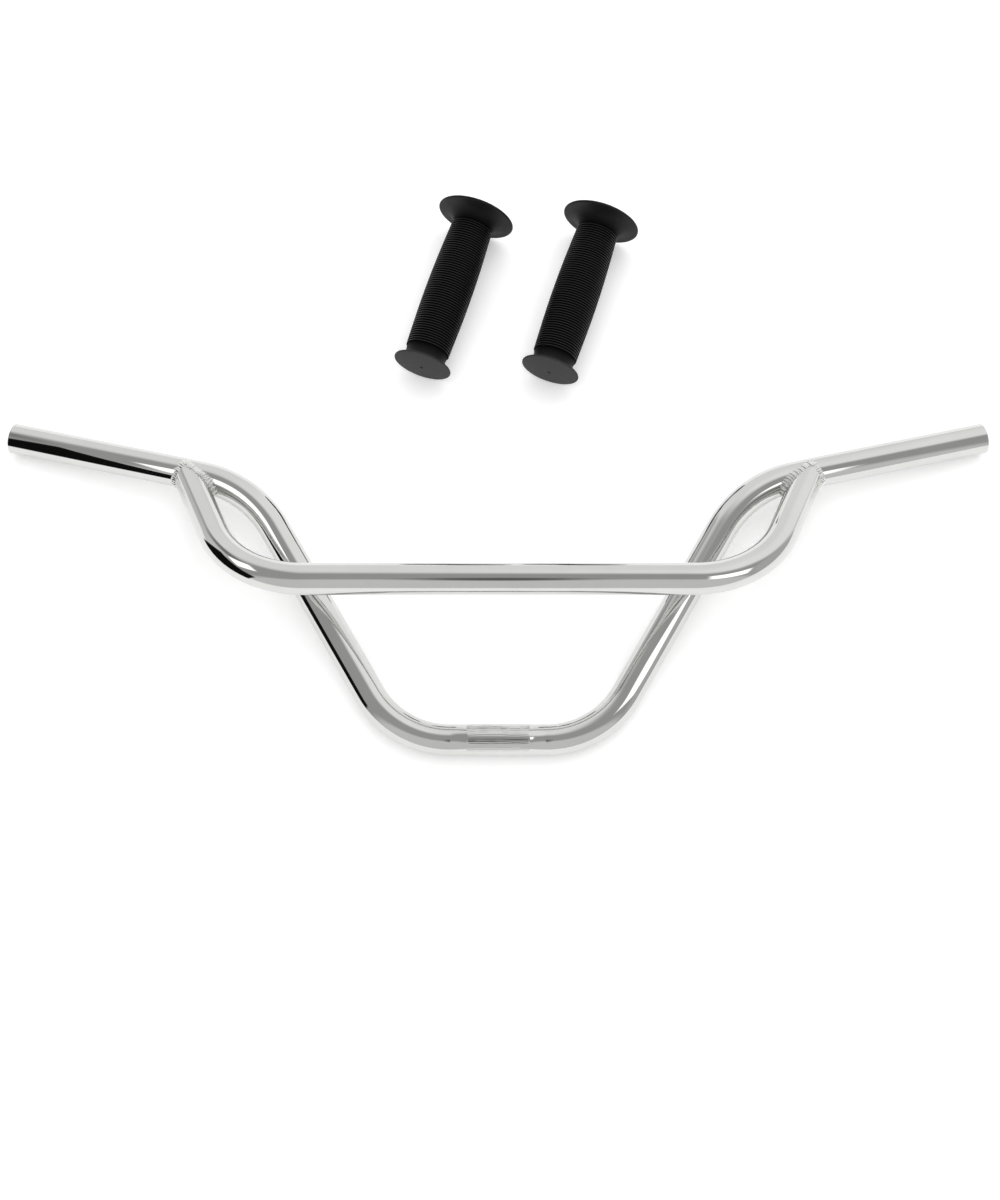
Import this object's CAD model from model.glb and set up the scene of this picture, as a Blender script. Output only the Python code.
"""Looks of a chromed tube handlebar and its two loose rubber grips.

Metres, in the row frame: the origin is the centre of the clamp section, +X runs along it to the
right, +Y points towards the bar ends, +Z up from the table. The bar is drawn in its leg plane,
with X across, Y up the legs and Z forwards, and is then leaned back about X to lie on the table.
"""

from math import asin, atan, atan2, ceil, cos, hypot, pi, radians, sin, sqrt, tan
from random import Random

import bmesh
import bpy
from mathutils import Matrix, Vector, noise


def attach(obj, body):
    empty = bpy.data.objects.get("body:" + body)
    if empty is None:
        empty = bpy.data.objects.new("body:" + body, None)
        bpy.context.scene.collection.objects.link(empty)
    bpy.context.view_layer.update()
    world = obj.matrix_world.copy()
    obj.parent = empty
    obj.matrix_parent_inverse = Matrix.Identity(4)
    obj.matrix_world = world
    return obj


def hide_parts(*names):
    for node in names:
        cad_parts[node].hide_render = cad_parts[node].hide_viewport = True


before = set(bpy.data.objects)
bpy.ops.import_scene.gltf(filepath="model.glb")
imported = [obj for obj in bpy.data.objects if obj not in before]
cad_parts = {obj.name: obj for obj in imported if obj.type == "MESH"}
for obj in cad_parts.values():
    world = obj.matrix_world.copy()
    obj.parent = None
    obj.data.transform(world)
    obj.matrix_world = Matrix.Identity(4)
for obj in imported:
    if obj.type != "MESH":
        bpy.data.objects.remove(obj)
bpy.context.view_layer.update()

# Tubes
TUBE_R = 0.0111
WALL = 0.002
BORE_R = TUBE_R - WALL
TIP_ROUNDING = 0.0005
BORE_CHAMFER = 0.0003

# Main tube, right half, in the leg plane
CLAMP_TO_CORNER = 0.071
SHOULDER_X = 0.1766
SHOULDER_RISE = 0.1833
LOWER_BEND_R = 0.065
UPPER_BEND_R = 0.085
RUN_RISE = radians(14.0)
RUN_SWEEP = radians(8.0)
FADE_SHARE = 0.025
FADE_R = 1.5
SHOULDER_TO_FADE = 0.0496
FADE_TO_TIP = 0.1356

# Knurled band
BAND_R = 0.0113
BAND_LENGTH = 0.045
KNURL_RIDGES = 60
KNURL_DEPTH = 0.00008
KNURL_STEP = 0.0015
KNURL_WAVER = 2.4  # how far, in radians of a ridge's phase, the ridges stray
BAND_EDGE = 0.0002

# Crossbar, in the leg plane
CROSS_RISE = 0.1038
CROSS_FORWARD = 0.045
CROSS_CORNER_X = 0.1819
CROSS_BEND_R = 0.07
COPE_GAP = 0.00005

# Welds: each bead is a row of overlapping puddles along the joint
PUDDLE_PITCH = 0.0018
PUDDLE_TILT = radians(42)
PUDDLE_SINK = -0.0007  # height of a puddle's middle over the joint where the tubes meet flat
CROTCH_RISE = 0.0048  # how much higher it is where they meet in a fold
ROOT_DEPTH = 0.0004
ROOT_RADII = (0.0016, 0.0026, 0.0013)
SPATTER_DOTS = 9
SPATTER_REACH = 0.0035
SPATTER_LIFT = 0.0003
WELD_VOXEL = 0.00022
WELD_LUMP = 0.00009
WELD_LUMPS_PER_METRE = 900

# Grips, measured from the closed end
GRIP_LENGTH = 0.130
GRIP_BORE_R = 0.01095
GRIP_BORE_FLOOR = 0.008
VENT_R = 0.0011
CAP_R = 0.0217
CAP_DOME = 0.0016
CAP_RIM = 0.0017
NECK_START = 0.0064
NECK_R = 0.0149
RIBS = 54
RIB_PITCH = 0.00195
RIBS_START = 0.0136
RIB_DEPTH = 0.0008
BODY_R_CAP_END = 0.0165
BODY_R_FLANGE_END = 0.0156
BODY_SWELL = 0.00145
FLANGE_R = 0.0291
FLANGE_RIM = 0.002
BORE_LIP = 0.0006
CREST_ROUNDNESS = 0.6  # under 1 gives broad crests between narrow grooves
RIM_START = GRIP_LENGTH - FLANGE_RIM
GRIP_AZIMUTH = radians(72)
GRIP_CENTRES = {"left": (-0.0365, 0.3445), "right": (0.0575, 0.3405)}

# Fineness of the meshes
TUBE_SIDES = 96
KNURL_SIDES = KNURL_RIDGES * 8
BEND_STEP = radians(2)
GRIP_SIDES = 96
RIB_STEPS = 6
CURVE_STEPS = 14

# The table, the camera and the lights
TABLE_Z = -BAND_R
FLOOR_SIDE = 12.0
CAMERA_PLACE = Vector((0.0013, -0.4370, 1.4382))
CAMERA_LOOK = Vector((0.0, 0.352, -0.936))
LENS_MM = 64.8
SENSOR_MM = 36.0
OVERHEAD_PLACE = (0.0, 0.3, 2.6)
OVERHEAD_AIM = (0, 0.1, 0)
OVERHEAD_SIDE = 3.2
OVERHEAD_WATTS = 46
FLOOR_GLOW = 0.25


# --- The bar's skeleton -----------------------------------------------------------------------


def flipped(point):
    """The mirror image of a point, on the left half."""
    return Vector((-point.x, point.y, point.z))


leg_dir = Vector((SHOULDER_X - CLAMP_TO_CORNER, SHOULDER_RISE, 0)).normalized()
run_dir = Vector((cos(RUN_RISE) * cos(RUN_SWEEP), sin(RUN_RISE), -cos(RUN_RISE) * sin(RUN_SWEEP)))
fade_dir = (run_dir + leg_dir * FADE_SHARE).normalized()
lower_corner = Vector((CLAMP_TO_CORNER, 0, 0))
shoulder = Vector((SHOULDER_X, SHOULDER_RISE, 0))
landing = shoulder + fade_dir * SHOULDER_TO_FADE
tip = landing + run_dir * FADE_TO_TIP
cross_corner = Vector((CROSS_CORNER_X, CROSS_RISE, CROSS_FORWARD))
arm_dir = (landing - cross_corner).normalized()

# The lean that brings the tips' lower edges down to the knurled band's lowest line
LEAN = atan2(-tip.z, tip.y) + asin((TUBE_R - BAND_R) / hypot(tip.y, tip.z))
LYING_BACK = Matrix.Rotation(LEAN, 4, "X")


def bend(before, corner, after, radius):
    """Points round one corner, from where its arc starts to where it ends."""
    into = (corner - before).normalized()
    out = (after - corner).normalized()
    angle = into.angle(out)
    inward = (out - into * into.dot(out)).normalized()
    centre = corner - into * radius * tan(angle / 2) + inward * radius
    count = max(2, ceil(angle / BEND_STEP))
    turns = [angle * number / count for number in range(count + 1)]
    return [centre + (into * sin(turn) - inward * cos(turn)) * radius for turn in turns]


def centre_line(corners, radii):
    """The points of a line through the corners, each one rounded."""
    line = [corners[0]]
    for number, radius in enumerate(radii, start=1):
        line += bend(corners[number - 1], corners[number], corners[number + 1], radius)
    return line + [corners[-1]]


def travelling_frames(line):
    """Two directions across the line at each of its points, without twist."""
    tangents = []
    for number in range(len(line)):
        before = line[max(number - 1, 0)]
        after = line[min(number + 1, len(line) - 1)]
        tangents.append((after - before).normalized())
    side = tangents[0].orthogonal().normalized()
    frames = []
    for number, tangent in enumerate(tangents):
        if number:
            side = tangents[number - 1].rotation_difference(tangent) @ side
        side = (side - tangent * side.dot(tangent)).normalized()
        frames.append((side, tangent.cross(side), tangent))
    return frames


# --- Meshes from rings ------------------------------------------------------------------------


def ring(centre, frame_here, radius, sides=TUBE_SIDES):
    """Points round a centre; the radius is a number, or a function of the angle."""
    side, up, _ = frame_here
    points = []
    for number in range(sides):
        angle = 2 * pi * number / sides
        reach = radius(angle) if callable(radius) else radius
        points.append(centre + (side * cos(angle) + up * sin(angle)) * reach)
    return points


def joined(rings):
    """Faces from each ring to the next one, and from the last ring back to the first one."""
    starts = [0]
    for points in rings:
        starts.append(starts[-1] + len(points))
    faces = []
    for here in range(len(rings)):
        there = (here + 1) % len(rings)
        sizes = len(rings[here]), len(rings[there])
        few = min(sizes)
        for number in range(few):
            loops = []
            for which, size in zip((here, there), sizes):
                share = size // few
                first = number * share
                loops.append([starts[which] + (first + k) % size for k in range(share + 1)])
            faces.append(loops[0] + loops[1][::-1])
    return faces


def ring_mesh(name, rings, stations, place):
    """A closed mesh through the rings, with a map for its finish of (round, along), in metres on
    a tube's skin."""
    mesh = bpy.data.meshes.new(name)
    vertices = [place @ point for points in rings for point in points]
    faces = joined(rings)
    mesh.from_pydata(vertices, [], faces)
    shares = [number / len(points) for points in rings for number in range(len(points))]
    along = [station for points, station in zip(rings, stations) for _ in points]
    layer = mesh.uv_layers.new(name="round_along")
    for face in mesh.polygons:
        here = [shares[vertex] for vertex in face.vertices]
        crosses_seam = max(here) - min(here) > 0.5
        for loop, vertex, share in zip(face.loop_indices, face.vertices, here):
            turn = share + 1 if crosses_seam and share < 0.5 else share
            layer.data[loop].uv = (turn * 2 * pi * TUBE_R, along[vertex])
    return finished_mesh(mesh)


def finished_mesh(mesh, sharp_angle=radians(40)):
    """Turns every face outwards and shades the mesh smooth, but for its sharp edges."""
    work = bmesh.new()
    work.from_mesh(mesh)
    bmesh.ops.recalc_face_normals(work, faces=work.faces)
    work.to_mesh(mesh)
    work.free()
    mesh.shade_smooth()
    mesh.set_sharp_from_angle(angle=sharp_angle)
    return mesh


def shown(mesh, material, body, node):
    """Puts a mesh in the scene as the piece that stands for a CAD node."""
    piece = bpy.data.objects.new(mesh.name, mesh)
    bpy.context.scene.collection.objects.link(piece)
    mesh.materials.append(material)
    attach(piece, body)
    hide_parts(node)


def line_lengths(line):
    """How far along the line each of its points is."""
    lengths = [0.0]
    for before, after in zip(line, line[1:]):
        lengths.append(lengths[-1] + (after - before).length)
    return lengths


# --- Main tube --------------------------------------------------------------------------------


def knurl_radius(x):
    """The rolled band's radius round the tube: fine ridges that run along it and waver."""
    fade = min(1.0, (0.5 * BAND_LENGTH - abs(x)) / KNURL_STEP)

    def radius(angle):
        around = Vector((cos(angle), sin(angle), 0)) * 3.0
        waver = noise.noise(around + Vector((0, 0, x * 90)))
        ridge = 0.5 + 0.5 * cos(KNURL_RIDGES * angle + KNURL_WAVER * waver)
        worn = 0.75 + 0.45 * noise.noise(around * 4 + Vector((7, 0, x * 260)))
        return BAND_R - KNURL_DEPTH * (1 - ridge * fade * min(1.0, worn))

    return radius


def tip_rings(centre, frame_here, outwards):
    """The tube's end, from its outer skin to its bore: rounded, flat, then chamfered."""
    tangent = frame_here[2] * outwards
    rings = []
    for number in range(1, 6):
        turn = 0.5 * pi * number / 5
        back = TIP_ROUNDING * (1 - sin(turn))
        radius = TUBE_R - TIP_ROUNDING * (1 - cos(turn))
        rings.append(ring(centre - tangent * back, frame_here, radius))
    rings.append(ring(centre, frame_here, BORE_R + BORE_CHAMFER))
    return rings


def main_tube_mesh():
    """The bent tube: its outer skin with the knurled band, its open tips and its bore."""
    right = [lower_corner, shoulder, landing, tip]
    left = [flipped(point) for point in reversed(right)]
    radii = [LOWER_BEND_R, UPPER_BEND_R, FADE_R]
    line = centre_line(left + right, radii[::-1] + radii)
    frames = travelling_frames(line)
    lengths = line_lengths(line)
    middle = next(number for number, point in enumerate(line) if point.x > 0)
    rings, stations = [], []

    def add(points, station):
        rings.append(points)
        stations.append(station)

    add(ring(line[0] + frames[0][2] * TIP_ROUNDING, frames[0], TUBE_R), TIP_ROUNDING)
    for number in range(1, len(line) - 1):
        if number == middle:
            add_knurl(add, frames[number], lengths[number] - line[number].x)
        add(ring(line[number], frames[number], TUBE_R), lengths[number])
    end, last = lengths[-1], frames[-1]
    add(ring(line[-1] - last[2] * TIP_ROUNDING, last, TUBE_R), end - TIP_ROUNDING)
    for points in tip_rings(line[-1], last, 1):
        add(points, end)
    inside = list(zip(line, frames, lengths))[::-1]
    inside[0] = (line[-1] - last[2] * BORE_CHAMFER, last, end)
    inside[-1] = (line[0] + frames[0][2] * BORE_CHAMFER, frames[0], 0.0)
    for point, frame_here, length in inside:
        add(ring(point, frame_here, BORE_R), length)
    for points in tip_rings(line[0], frames[0], -1)[::-1]:
        add(points, 0.0)
    return ring_mesh("bar_main_tube", rings, stations, LYING_BACK)


def add_knurl(add, frame_here, middle_length):
    """The band's rings, from its left step to its right one."""
    half = 0.5 * BAND_LENGTH
    count = round(BAND_LENGTH / KNURL_STEP)
    add(ring(Vector((-half, 0, 0)), frame_here, TUBE_R), middle_length - half)
    for number in range(count + 1):
        x = -half + BAND_EDGE + (BAND_LENGTH - 2 * BAND_EDGE) * number / count
        points = ring(Vector((x, 0, 0)), frame_here, knurl_radius(x), KNURL_SIDES)
        add(points, middle_length + x)
    add(ring(Vector((half, 0, 0)), frame_here, TUBE_R), middle_length + half)


# --- Crossbar ---------------------------------------------------------------------------------


def reach_to_main(start, direction, main_point, main_dir, radius):
    """How far a line runs from start before it meets the main tube's skin."""
    across = direction - main_dir * direction.dot(main_dir)
    offset = start - main_point
    offset = offset - main_dir * offset.dot(main_dir)
    a = across.dot(across)
    b = across.dot(offset)
    c = offset.dot(offset) - radius * radius
    return (-b - sqrt(max(b * b - a * c, 0.0))) / a


def coped(points, direction, main_point, main_dir):
    """A ring's points, moved along the crossbar until they meet the main tube."""
    radius = TUBE_R + COPE_GAP
    return [
        point + direction * reach_to_main(point, direction, main_point, main_dir, radius)
        for point in points
    ]


def crossbar_mesh():
    """The U-bent tube, its two ends fish-mouthed to the main tube."""
    corners = [flipped(landing), flipped(cross_corner), cross_corner, landing]
    line = centre_line(corners, [CROSS_BEND_R, CROSS_BEND_R])
    frames = travelling_frames(line)
    lengths = line_lengths(line)
    ends = {
        0: (-frames[0][2], flipped(landing), flipped(run_dir)),
        len(line) - 1: (frames[-1][2], landing, run_dir),
    }

    def layer(radius):
        rings = []
        for number, point in enumerate(line):
            points = ring(point, frames[number], radius)
            if number in ends:
                points = coped(points, *ends[number])
            rings.append(points)
        return rings

    rings = layer(TUBE_R) + layer(BORE_R)[::-1]
    stations = lengths + lengths[::-1]
    return ring_mesh("bar_crossbar", rings, stations, LYING_BACK)


# --- Welds ------------------------------------------------------------------------------------


def joint_line(count=720):
    """Points where the crossbar's skin meets the main tube's, each with both skins' normals."""
    side = arm_dir.cross(run_dir).normalized()
    up = side.cross(arm_dir)
    found = []
    for number in range(count):
        angle = 2 * pi * number / count
        outwards = side * cos(angle) + up * sin(angle)
        start = landing + outwards * TUBE_R
        point = start + arm_dir * reach_to_main(start, arm_dir, landing, run_dir, TUBE_R)
        foot = landing + run_dir * (point - landing).dot(run_dir)
        found.append((point, outwards, (point - foot).normalized()))
    return found


def spaced(found, pitch):
    """The joint's points thinned out to one every pitch, as (point, normal, opening) rows."""
    rows = []
    run = pitch
    for number, (point, cross_normal, main_normal) in enumerate(found):
        run += (point - found[number - 1][0]).length if number else 0.0
        if run < pitch:
            continue
        run -= pitch
        outwards = (cross_normal + main_normal).normalized()
        opening = max(0.0, 0.5 * (1 - cross_normal.dot(main_normal)))
        rows.append((point, outwards, opening))
    return rows


def unit_ball():
    """Corners and faces of a fine ball of radius one."""
    work = bmesh.new()
    bmesh.ops.create_icosphere(work, subdivisions=3, radius=1.0)
    corners = [vertex.co.copy() for vertex in work.verts]
    faces = [[vertex.index for vertex in face.verts] for face in work.faces]
    work.free()
    return corners, faces


def puddles_of_bead(random):
    """Where each puddle of one bead lies: its centre, its axes and its radii."""
    rows = spaced(joint_line(), PUDDLE_PITCH)
    puddles = []
    for number, (point, outwards, opening) in enumerate(rows):
        before, after = rows[number - 1][0], rows[(number + 1) % len(rows)][0]
        along = (after - before).normalized()
        across = along.cross(outwards).normalized()
        outwards = across.cross(along)
        tilt = Matrix.Rotation(PUDDLE_TILT, 3, across)
        sink = PUDDLE_SINK + CROTCH_RISE * opening**1.5 + random.uniform(-0.0002, 0.0003)
        centre = point + outwards * sink + across * random.uniform(-0.0004, 0.0004)
        radii = (
            0.0010 + random.uniform(0, 0.0003),
            0.0032 + 0.0024 * opening + random.uniform(-0.0003, 0.0005),
            0.0018 + 0.0013 * opening + random.uniform(-0.0001, 0.0004),
        )
        puddles.append((centre, (tilt @ along, across, tilt @ outwards), radii))
        root = point + outwards * (sink - ROOT_DEPTH)
        puddles.append((root, (along, across, outwards), ROOT_RADII))
    for _ in range(SPATTER_DOTS):
        point, outwards, _opening = random.choice(rows)
        shift = Vector([random.uniform(-SPATTER_REACH, SPATTER_REACH) for _axis in range(3)])
        shift -= outwards * shift.dot(outwards)
        dot = random.uniform(0.0004, 0.0007)
        centre = point + shift + outwards * SPATTER_LIFT
        puddles.append((centre, Matrix.Identity(3), (dot, dot, dot)))
    return puddles


def weld_mesh(name, seed):
    """A bead of overlapping puddles round the joint, melted into one skin, with some spatter."""
    corners, ball_faces = unit_ball()
    vertices, faces = [], []
    for centre, axes, radii in puddles_of_bead(Random(seed)):
        turn = Matrix(axes).transposed() @ Matrix.Diagonal(radii)
        first = len(vertices)
        vertices += [turn @ corner + centre for corner in corners]
        faces += [[first + number for number in face] for face in ball_faces]
    mesh = bpy.data.meshes.new(name)
    mesh.from_pydata(vertices, [], faces)
    mesh = remeshed(mesh, WELD_VOXEL)
    normals = [vertex.normal.copy() for vertex in mesh.vertices]
    for vertex, normal in zip(mesh.vertices, normals):
        lump = noise.noise(vertex.co * WELD_LUMPS_PER_METRE + Vector((seed, 0, 0)))
        vertex.co += normal * lump * WELD_LUMP
    return mesh


def remeshed(mesh, voxel):
    """The mesh's lumps melted into one closed skin and eased a little."""
    holder = bpy.data.objects.new("melt", mesh)
    bpy.context.scene.collection.objects.link(holder)
    remesh = holder.modifiers.new("melt", "REMESH")
    remesh.mode = "VOXEL"
    remesh.voxel_size = voxel
    ease = holder.modifiers.new("ease", "SMOOTH")
    ease.factor = 0.5
    ease.iterations = 2
    evaluated = holder.evaluated_get(bpy.context.evaluated_depsgraph_get())
    result = bpy.data.meshes.new_from_object(evaluated)
    bpy.data.objects.remove(holder)
    bpy.data.meshes.remove(mesh)
    return result


def placed_weld(name, seed, left):
    """A weld laid back with the bar, and mirrored on the left."""
    mesh = weld_mesh(name, seed)
    mesh.name = name
    mirror = Matrix.Diagonal((-1, 1, 1, 1)) if left else Matrix.Identity(4)
    mesh.transform(mirror @ LYING_BACK)
    return finished_mesh(mesh, radians(180))


# --- Grips ------------------------------------------------------------------------------------


def eased_curve(start, start_pull, end, end_pull, steps=CURVE_STEPS):
    """Points of a cubic curve between two (radius, height) points, without its first point."""
    points = []
    for number in range(1, steps + 1):
        t = number / steps
        s = 1 - t
        weights = (s**3, 3 * s * s * t, 3 * s * t * t, t**3)
        rows = list(zip(weights, (start, start_pull, end_pull, end)))
        points.append(tuple(sum(w * mark[axis] for w, mark in rows) for axis in (0, 1)))
    return points


def rim_arc(centre, radius, start, end, steps=8):
    """Points of an arc in the (radius, height) plane, both ends included."""
    turns = [start + (end - start) * number / steps for number in range(steps + 1)]
    return [(centre[0] + radius * cos(turn), centre[1] + radius * sin(turn)) for turn in turns]


def body_radius(along):
    """Radius of the ribs' crests, from the first rib (0) to the last one (1)."""
    ends = BODY_R_CAP_END + (BODY_R_FLANGE_END - BODY_R_CAP_END) * along
    return ends + BODY_SWELL * sin(pi * along)


def rib_outline():
    """The ribs, from the flange end down to the cap end: round crests between sharp grooves."""
    points = []
    for number in reversed(range(RIBS)):
        low = RIBS_START + number * RIB_PITCH
        for step in range(RIB_STEPS):
            share = 1 - step / RIB_STEPS
            crest = body_radius((number + share) / RIBS)
            rise = sin(pi * share) ** CREST_ROUNDNESS
            points.append((crest - RIB_DEPTH * (1 - rise), low + share * RIB_PITCH))
    points.append((BODY_R_CAP_END - RIB_DEPTH, RIBS_START))
    return points


def grip_outline():
    """The grip's closed outline as (radius, height) points, from the vent round to the cap."""
    flange_in = FLANGE_R - 0.5 * FLANGE_RIM
    rim_middle = GRIP_LENGTH - 0.5 * FLANGE_RIM
    ribs = rib_outline()
    points = [(VENT_R, 0.0004), (VENT_R, GRIP_BORE_FLOOR)]
    points += [(GRIP_BORE_R - BORE_LIP, GRIP_BORE_FLOOR)]
    points += [(GRIP_BORE_R, GRIP_BORE_FLOOR + BORE_LIP), (GRIP_BORE_R, GRIP_LENGTH - BORE_LIP)]
    points += [(GRIP_BORE_R + BORE_LIP, GRIP_LENGTH)]
    points += rim_arc((flange_in, rim_middle), 0.5 * FLANGE_RIM, 0.5 * pi, -0.5 * pi)
    start = points[-1]
    under = (start[0] - 0.0115, start[1] - 0.0005)
    above = (ribs[0][0] + 0.0002, ribs[0][1] + 0.0030)
    points += eased_curve(start, under, ribs[0], above)[:-1]
    points += ribs
    points += [(BODY_R_CAP_END - 0.0009, RIBS_START - 0.0007), (NECK_R + 0.0003, 0.0095)]
    neck = (NECK_R, NECK_START)
    points.append(neck)
    cap_in = CAP_R - 0.5 * CAP_RIM
    cap_back = (cap_in, CAP_DOME + CAP_RIM)
    points += eased_curve(neck, (NECK_R + 0.0002, 0.0044), cap_back, (CAP_R - 0.004, 0.0036))
    points += rim_arc((cap_in, CAP_DOME + 0.5 * CAP_RIM), 0.5 * CAP_RIM, 0.5 * pi, -0.5 * pi)[1:]
    face = eased_curve(points[-1], (0.016, 0.0008), (VENT_R + 0.0003, 0), (0.008, 0.0))
    return points + face


def grip_place(centre):
    """Lays a standing grip down on its cap's rim and its flange's rim."""
    cap_rim = CAP_DOME + 0.5 * CAP_RIM
    tilt = atan((FLANGE_R - CAP_R) / (GRIP_LENGTH - 0.5 * FLANGE_RIM - cap_rim))
    mouth_dir = Vector((cos(GRIP_AZIMUTH) * cos(tilt), sin(GRIP_AZIMUTH) * cos(tilt), sin(tilt)))
    across = Vector((sin(GRIP_AZIMUTH), -cos(GRIP_AZIMUTH), 0))
    back = 0.5 * GRIP_LENGTH * cos(tilt)
    end = Vector((
        centre[0] - back * cos(GRIP_AZIMUTH),
        centre[1] - back * sin(GRIP_AZIMUTH),
        TABLE_Z + CAP_R * cos(tilt) - cap_rim * sin(tilt),
    ))
    turn = Matrix((across, mouth_dir.cross(across), mouth_dir)).transposed().to_4x4()
    return Matrix.Translation(end) @ turn


def grip_mesh(name, centre):
    """One grip, turned from its outline and laid on the table."""
    axes = (Vector((1, 0, 0)), Vector((0, 1, 0)), Vector((0, 0, 1)))
    outline = grip_outline()
    rings = [ring(Vector((0, 0, height)), axes, radius, GRIP_SIDES) for radius, height in outline]
    heights = [height for _, height in outline]
    return ring_mesh(name, rings, heights, grip_place(centre))


# --- Finishes ---------------------------------------------------------------------------------


class Tree:
    """A node tree under construction: each call adds a node and returns its output."""

    def __init__(self, tree):
        self.tree = tree
        tree.nodes.clear()

    def add(self, kind, inputs=None, output=0, **settings):
        node = self.tree.nodes.new(kind)
        for name, value in settings.items():
            setattr(node, name, value)
        for name, value in (inputs or {}).items():
            self.put(node.inputs[name], value)
        return node.outputs[output] if len(node.outputs) else node

    def put(self, socket, value):
        """Links an output to a socket, or sets the socket to a plain value."""
        if isinstance(value, bpy.types.NodeSocket):
            self.tree.links.new(value, socket)
        else:
            socket.default_value = value

    def sum(self, operation, *values):
        return self.add("ShaderNodeMath", dict(enumerate(values)), operation=operation)

    def mix(self, share, low, high):
        inputs = {"Factor": share, "A": low, "B": high}
        return self.add("ShaderNodeMix", inputs, data_type="FLOAT")

    def mix_colour(self, share, low, high):
        node = self.tree.nodes.new("ShaderNodeMix")
        node.data_type = "RGBA"
        self.put(node.inputs[0], share)
        self.put(node.inputs[6], low)
        self.put(node.inputs[7], high)
        return node.outputs[2]

    def spread(self, value, low, high, to_low=0.0, to_high=1.0, smooth=False):
        inputs = {"Value": value, "From Min": low, "From Max": high}
        inputs.update({"To Min": to_low, "To Max": to_high})
        kind = "SMOOTHSTEP" if smooth else "LINEAR"
        return self.add("ShaderNodeMapRange", inputs, interpolation_type=kind)

    def grain(self, vector, scale, detail=3.0, roughness=0.55):
        inputs = {"Vector": vector, "Scale": scale, "Detail": detail, "Roughness": roughness}
        return self.add("ShaderNodeTexNoise", inputs)

    def stretched(self, vector, scale):
        return self.add("ShaderNodeMapping", {"Vector": vector, "Scale": scale})


def new_material(name):
    """An empty node material and its tree."""
    material = bpy.data.materials.new(name)
    material.use_nodes = True
    return material, Tree(material.node_tree)


def output(tree, shader):
    """Sends a shader to the surface."""
    tree.add("ShaderNodeOutputMaterial", {"Surface": shader})


def chrome(name, roughness, haze, line_bump):
    """Bright chrome: polished along the tube, with faint draw lines and a slightly uneven gloss."""
    material, tree = new_material(name)
    place = tree.add("ShaderNodeUVMap", uv_map="round_along")
    lines = tree.grain(tree.stretched(place, (2600, 26, 1)), 1.0, 4.0)
    solid = tree.add("ShaderNodeTexCoord", output=3)
    cloud = tree.grain(solid, 38.0, 4.0)
    pits = tree.grain(solid, 2600.0, 2.0)
    tone = tree.mix_colour(cloud, (0.60, 0.60, 0.58, 1), (0.67, 0.67, 0.66, 1))
    gloss = tree.spread(cloud, 0.3, 0.75, roughness, roughness + haze)
    gloss = tree.sum("ADD", gloss, tree.spread(lines, 0.5, 0.9, 0.0, haze))
    height = tree.mix(0.2, lines, pits)
    bump = {"Height": height, "Strength": line_bump, "Distance": 0.0001}
    normal = tree.add("ShaderNodeBump", bump)
    inputs = {"Base Color": tone, "Metallic": 1.0, "Roughness": gloss, "Normal": normal}
    output(tree, tree.add("ShaderNodeBsdfPrincipled", inputs))
    return material


def weld_chrome():
    """The same plating over rough weld metal: bright, with fine solidification ripples."""
    material, tree = new_material("weld_chrome")
    solid = tree.add("ShaderNodeTexCoord", output=3)
    ripples = tree.grain(solid, 1500.0, 3.0)
    cloud = tree.grain(solid, 420.0, 3.0)
    tone = tree.mix_colour(cloud, (0.62, 0.62, 0.60, 1), (0.80, 0.80, 0.79, 1))
    gloss = tree.spread(cloud, 0.3, 0.7, 0.05, 0.14)
    bump = {"Height": ripples, "Strength": 0.5, "Distance": 0.0003}
    normal = tree.add("ShaderNodeBump", bump)
    inputs = {"Base Color": tone, "Metallic": 1.0, "Roughness": gloss, "Normal": normal}
    output(tree, tree.add("ShaderNodeBsdfPrincipled", inputs))
    return material


def rubber():
    """Black moulded rubber: satin rib crests, matte grooves and a paler, matte cap face."""
    material, tree = new_material("black_rubber")
    solid = tree.add("ShaderNodeTexCoord", output=3)
    bloom = tree.grain(solid, 60.0, 5.0)
    grain = tree.grain(solid, 2400.0, 3.0)
    node = tree.tree.nodes.new("ShaderNodeSeparateXYZ")
    tree.put(node.inputs[0], tree.add("ShaderNodeUVMap", uv_map="round_along"))
    height = node.outputs[1]
    ribs_end = RIBS_START + RIBS * RIB_PITCH
    phase = tree.spread(height, RIBS_START, ribs_end, 0.0, 2 * pi * RIBS)
    crest = tree.spread(tree.sum("COSINE", phase), -0.35, -1.0, smooth=True)
    neck = tree.spread(height, RIBS_START, NECK_START)
    ends = tree.sum("MAXIMUM", neck, tree.spread(height, ribs_end, RIM_START))
    shine = tree.sum("MAXIMUM", crest, tree.sum("MULTIPLY", ends, 0.6))
    dusty = tree.spread(height, CAP_DOME + CAP_RIM, CAP_DOME)
    tone = tree.mix_colour(bloom, (0.0010, 0.0010, 0.0011, 1), (0.0025, 0.0025, 0.0026, 1))
    tone = tree.mix_colour(shine, tone, (0.007, 0.007, 0.0074, 1))
    tone = tree.mix_colour(dusty, tone, (0.040, 0.040, 0.041, 1))
    gloss = tree.sum("ADD", tree.spread(bloom, 0.3, 0.7, 0.36, 0.46), tree.mix(shine, 0.3, 0.0))
    gloss = tree.mix(dusty, gloss, 0.7)
    level = tree.mix(shine, 0.02, 0.40)
    bump = {"Height": grain, "Strength": 0.25, "Distance": 0.0002}
    normal = tree.add("ShaderNodeBump", bump)
    inputs = {"Base Color": tone, "Roughness": gloss, "Normal": normal, "Specular IOR Level": level}
    output(tree, tree.add("ShaderNodeBsdfPrincipled", inputs))
    return material


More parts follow.
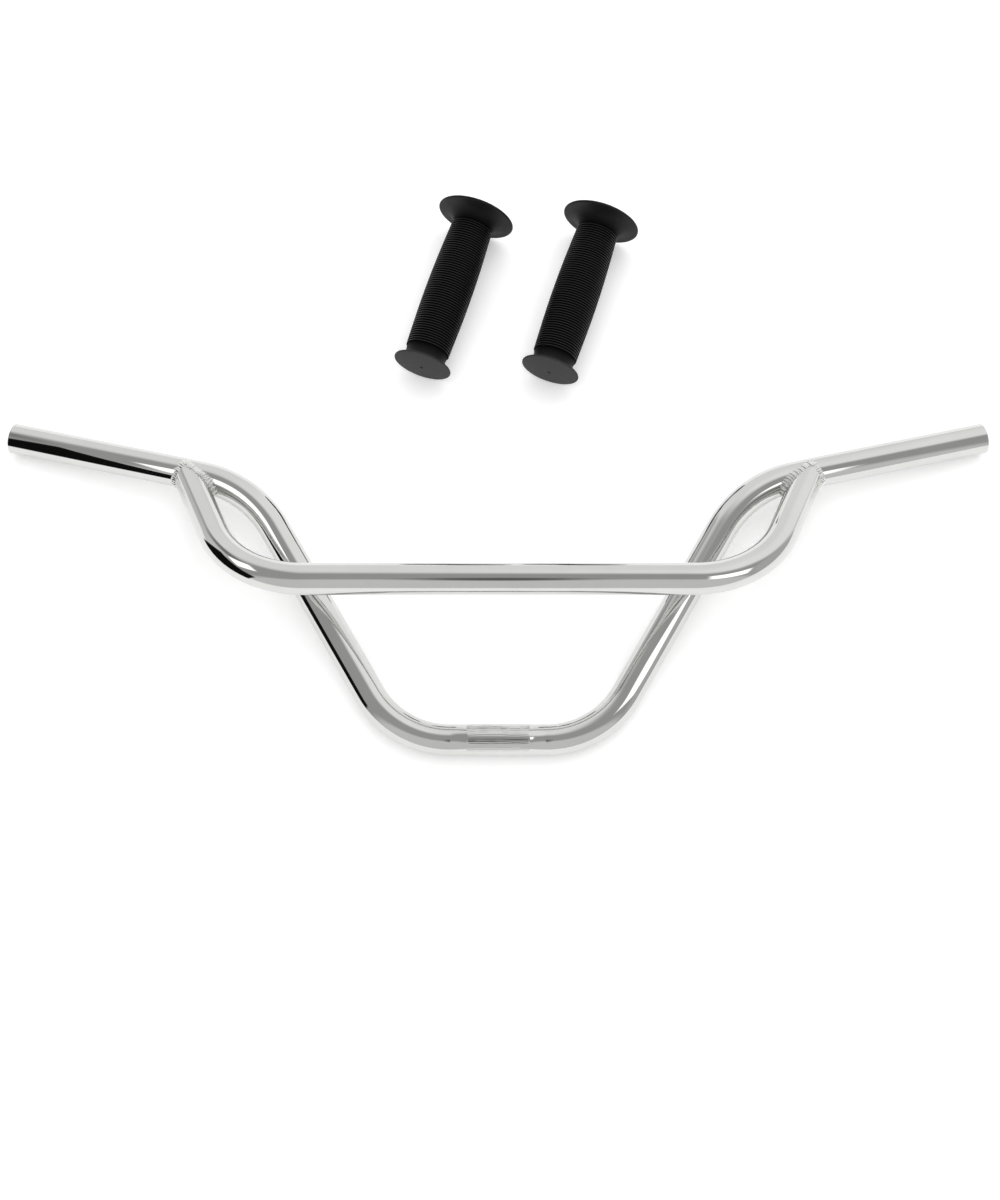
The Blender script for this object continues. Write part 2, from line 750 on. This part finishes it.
def floor_paper():
    """Pale seamless paper, faintly lit from underneath like a light table."""
    material, tree = new_material("floor_paper")
    solid = tree.add("ShaderNodeTexCoord", output=3)
    fibre = tree.grain(solid, 900.0, 4.0)
    tone = tree.mix_colour(fibre, (0.90, 0.90, 0.90, 1), (0.93, 0.93, 0.93, 1))
    inputs = {"Base Color": tone, "Roughness": 0.85}
    inputs.update({"Emission Color": (1, 1, 1, 1), "Emission Strength": FLOOR_GLOW})
    output(tree, tree.add("ShaderNodeBsdfPrincipled", inputs))
    return material


# --- The studio -------------------------------------------------------------------------------


def patch(tree, across, up, centre, size, soft):
    """How much of a soft-edged oval patch of the studio lies in a direction, from 0 to 1."""
    dx = tree.sum("DIVIDE", tree.sum("SUBTRACT", across, centre[0]), size[0])
    dy = tree.sum("DIVIDE", tree.sum("SUBTRACT", up, centre[1]), size[1])
    square = tree.sum("ADD", tree.sum("MULTIPLY", dx, dx), tree.sum("MULTIPLY", dy, dy))
    distance = tree.sum("SQRT", square)
    return tree.spread(distance, 1 - soft, 1 + soft, 1.0, 0.0, smooth=True)


# Patches of the studio overhead, by the X and Y of their direction: centre, half size, softness
# of the edge, brightness. Later ones lie over earlier ones.
STUDIO = [
    ((0.45, 0.62), (0.62, 0.42), 0.35, 1.08),  # bright wall behind, on the right
    ((-0.40, 0.95), (0.70, 0.45), 0.40, 0.98),  # wall behind, on the left
    ((0.0, -1.05), (1.2, 0.62), 0.16, 0.74),  # pale wall in front
    ((-0.66, 0.36), (0.10, 0.34), 0.55, 0.24),  # gap between wall and lamp
    ((-0.97, 0.36), (0.20, 0.30), 0.30, 0.75),  # pale wall on the left
    ((1.0, -0.15), (0.22, 0.60), 0.40, 0.55),  # grey wall on the right
    ((0.0, -0.40), (0.045, 0.16), 0.5, 0.14),  # camera and its stand
]
STUDIO_CEILING = 0.42
STUDIO_FLOOR = 0.95

# Cards that stand close to the table, just outside the picture: centre, half of one side, half
# of the other, softness of the edge, brightness
CARDS = {
    "left_lamp": ((-0.341, 0.121, 0.226), (0.044, 0, 0.037), (0, 0.062, 0.010), 0.35, 1.9),
    "right_lamp": ((0.380, -0.026, 0.371), (0.145, 0, -0.084), (0, 0.080, 0.045), 0.30, 1.9),
    "black_flag": ((-0.470, 0.010, 0.100), (0, 0.190, 0), (0, 0, 0.112), 0.10, 0.006),
}


def studio():
    """A soft studio: pale walls under a grey ceiling."""
    world = bpy.data.worlds.new("studio")
    bpy.context.scene.world = world
    world.use_nodes = True
    tree = Tree(world.node_tree)
    direction = tree.add("ShaderNodeTexCoord", output=0)
    node = tree.tree.nodes.new("ShaderNodeSeparateXYZ")
    tree.put(node.inputs[0], direction)
    across, up, height = node.outputs
    light = STUDIO_CEILING
    for centre, size, soft, brightness in STUDIO:
        light = tree.mix(patch(tree, across, up, centre, size, soft), light, brightness)
    below = tree.spread(height, 0.02, -0.02)
    light = tree.mix(below, light, STUDIO_FLOOR)
    rays = tree.tree.nodes.new("ShaderNodeLightPath")
    light = tree.mix(rays.outputs["Is Camera Ray"], light, 1.0)
    background = tree.add("ShaderNodeBackground", {"Color": (1, 1, 1, 1), "Strength": light})
    tree.add("ShaderNodeOutputWorld", {"Surface": background})


def card_finish(name, soft, brightness):
    """An even glow that fades out at the card's edges."""
    material, tree = new_material(name)
    node = tree.tree.nodes.new("ShaderNodeSeparateXYZ")
    tree.put(node.inputs[0], tree.add("ShaderNodeUVMap", uv_map="card"))
    share = 1.0
    for side in node.outputs[:2]:
        reach = tree.sum("ABSOLUTE", side)
        share = tree.sum("MULTIPLY", share, tree.spread(reach, 1.0, 1 - soft, smooth=True))
    clear = tree.add("ShaderNodeBsdfTransparent")
    glow = tree.add("ShaderNodeEmission", {"Strength": brightness})
    output(tree, tree.add("ShaderNodeMixShader", {0: share, 1: clear, 2: glow}))
    return material


def card(name, centre, half_side, half_height, soft, brightness):
    """A card that only shows in glossy surfaces."""
    centre, across, up = Vector(centre), Vector(half_side), Vector(half_height)
    signs = [(-1, -1), (1, -1), (1, 1), (-1, 1)]
    mesh = bpy.data.meshes.new(name)
    mesh.from_pydata([centre + across * i + up * j for i, j in signs], [], [(0, 1, 2, 3)])
    layer = mesh.uv_layers.new(name="card")
    for loop, sign in zip(layer.data, signs):
        loop.uv = sign
    mesh.materials.append(card_finish(name, soft, brightness))
    thing = bpy.data.objects.new(name, mesh)
    bpy.context.scene.collection.objects.link(thing)
    thing.visible_camera = False
    thing.visible_diffuse = False
    thing.visible_shadow = False


def soft_light(name, place, aim, side, watts):
    """A large square lamp that lights the table and the rubber, but doesn't show in the chrome."""
    data = bpy.data.lights.new(name, "AREA")
    data.shape = "SQUARE"
    data.size = side
    data.energy = watts
    lamp = bpy.data.objects.new(name, data)
    bpy.context.scene.collection.objects.link(lamp)
    lamp.location = place
    lamp.rotation_euler = (Vector(aim) - Vector(place)).to_track_quat("-Z", "Y").to_euler()
    lamp.visible_glossy = False


def floor():
    """The table top."""
    half = 0.5 * FLOOR_SIDE
    mesh = bpy.data.meshes.new("floor")
    signs = [(-1, -1), (1, -1), (1, 1), (-1, 1)]
    corners = [(half * i, half * j, TABLE_Z) for i, j in signs]
    mesh.from_pydata(corners, [], [(0, 1, 2, 3)])
    mesh.materials.append(floor_paper())
    plane = bpy.data.objects.new("floor", mesh)
    bpy.context.scene.collection.objects.link(plane)


def camera():
    """Looks down at the table from in front, a little past the clamp section."""
    data = bpy.data.cameras.new("camera")
    data.lens = LENS_MM
    data.sensor_width = SENSOR_MM
    eye = bpy.data.objects.new("camera", data)
    bpy.context.scene.collection.objects.link(eye)
    eye.location = CAMERA_PLACE
    eye.rotation_euler = CAMERA_LOOK.to_track_quat("-Z", "Y").to_euler()
    bpy.context.scene.camera = eye


# --- The scene --------------------------------------------------------------------------------

tube_chrome = chrome("tube_chrome", 0.03, 0.03, 0.05)
bead_chrome = weld_chrome()
black_rubber = rubber()

shown(main_tube_mesh(), tube_chrome, "bar", "main_tube")
shown(crossbar_mesh(), tube_chrome, "bar", "crossbar")
for side_name, seed in (("left", 3), ("right", 8)):
    bead = placed_weld("bar_weld_" + side_name, seed, side_name == "left")
    shown(bead, bead_chrome, "bar", "weld_" + side_name)
    grip = grip_mesh("rubber_grip_" + side_name, GRIP_CENTRES[side_name])
    shown(grip, black_rubber, side_name + "_grip", "grip_" + side_name)

floor()
studio()
for card_name, facts in CARDS.items():
    card(card_name, *facts)
soft_light("overhead", OVERHEAD_PLACE, OVERHEAD_AIM, OVERHEAD_SIDE, OVERHEAD_WATTS)
camera()
bpy.context.scene.view_settings.view_transform = "Standard"
